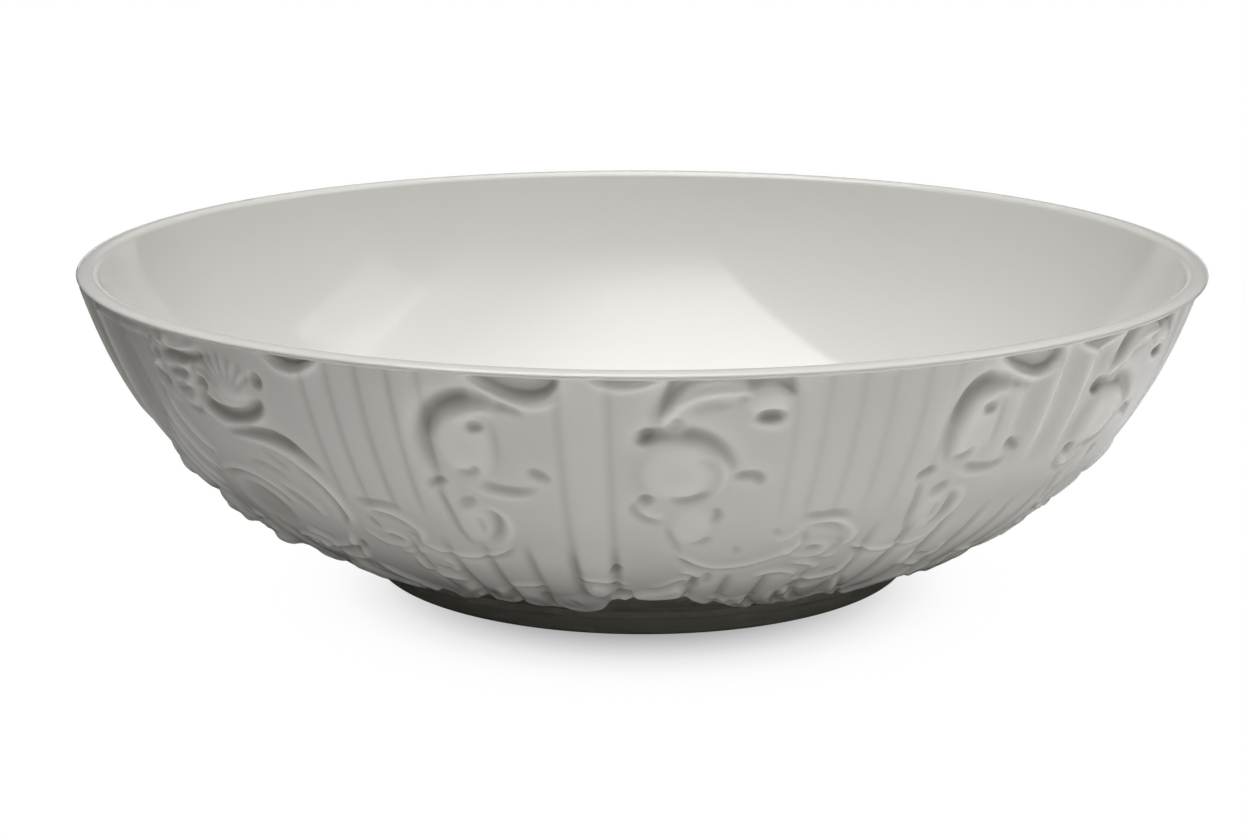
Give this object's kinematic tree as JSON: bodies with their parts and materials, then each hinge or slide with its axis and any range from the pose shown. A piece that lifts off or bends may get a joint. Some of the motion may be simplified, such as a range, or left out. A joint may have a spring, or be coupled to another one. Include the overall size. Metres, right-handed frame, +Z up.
{
  "type": "serving bowl",
  "caption": "Wide round porcelain serving bowl with a rolled lip, a low foot ring and moulded scroll, leaf and flute relief around its outer wall.",
  "frame": {"origin": "centre of the circle that the foot ring rests on", "axes": "+Z up along the bowl's axis, -Y towards the front of the relief"},
  "size_m": [0.254, 0.254, 0.0718],
  "materials": {
    "glazed_body": "clear glaze over white porcelain",
    "glazed_lip": "clear glaze, thin over the rounded edge",
    "glazed_relief": "clear glaze, pooled in the hollows of the relief",
    "glazed_ornament": "clear glaze, thin over the raised ornament",
    "bare_foot": "glazed sides and a wiped, unglazed resting edge"
  },
  "bodies": {
    "root": {"acanthus_leaf_1": "glazed_ornament", "acanthus_leaf_2": "glazed_ornament", "acanthus_leaf_3": "glazed_ornament", "acanthus_leaf_4": "glazed_ornament", "bowl_body": "glazed_body", "c_scroll_1": "glazed_ornament", "c_scroll_2": "glazed_ornament", "c_scroll_3": "glazed_ornament", "c_scroll_4": "glazed_ornament", "c_scroll_panel_1": "glazed_relief", "c_scroll_panel_2": "glazed_relief", "c_scroll_panel_3": "glazed_relief", "c_scroll_panel_4": "glazed_relief", "flower_1": "glazed_ornament", "flower_2": "glazed_ornament", "fluted_panel_1": "glazed_relief", "fluted_panel_2": "glazed_relief", "foot_leaf_1": "glazed_ornament", "foot_leaf_2": "glazed_ornament", "foot_leaf_3": "glazed_ornament", "foot_leaf_4": "glazed_ornament", "foot_leaf_5": "glazed_ornament", "foot_leaf_6": "glazed_ornament", "foot_leaf_7": "glazed_ornament", "foot_leaf_8": "glazed_ornament", "foot_ring": "bare_foot", "garland_scroll_1": "glazed_ornament", "garland_scroll_10": "glazed_ornament", "garland_scroll_2": "glazed_ornament", "garland_scroll_3": "glazed_ornament", "garland_scroll_4": "glazed_ornament", "garland_scroll_5": "glazed_ornament", "garland_scroll_6": "glazed_ornament", "garland_scroll_7": "glazed_ornament", "garland_scroll_8": "glazed_ornament", "garland_scroll_9": "glazed_ornament", "leaf_panel_1": "glazed_relief", "leaf_panel_2": "glazed_relief", "plain_panel_1": "glazed_relief", "plain_panel_2": "glazed_relief", "rim_lip": "glazed_lip", "s_scroll_1": "glazed_ornament", "s_scroll_2": "glazed_ornament", "s_scroll_3": "glazed_ornament", "s_scroll_4": "glazed_ornament", "s_scroll_panel_1": "glazed_relief", "s_scroll_panel_2": "glazed_relief", "s_scroll_panel_3": "glazed_relief", "s_scroll_panel_4": "glazed_relief"}
  },
  "joints": []
}
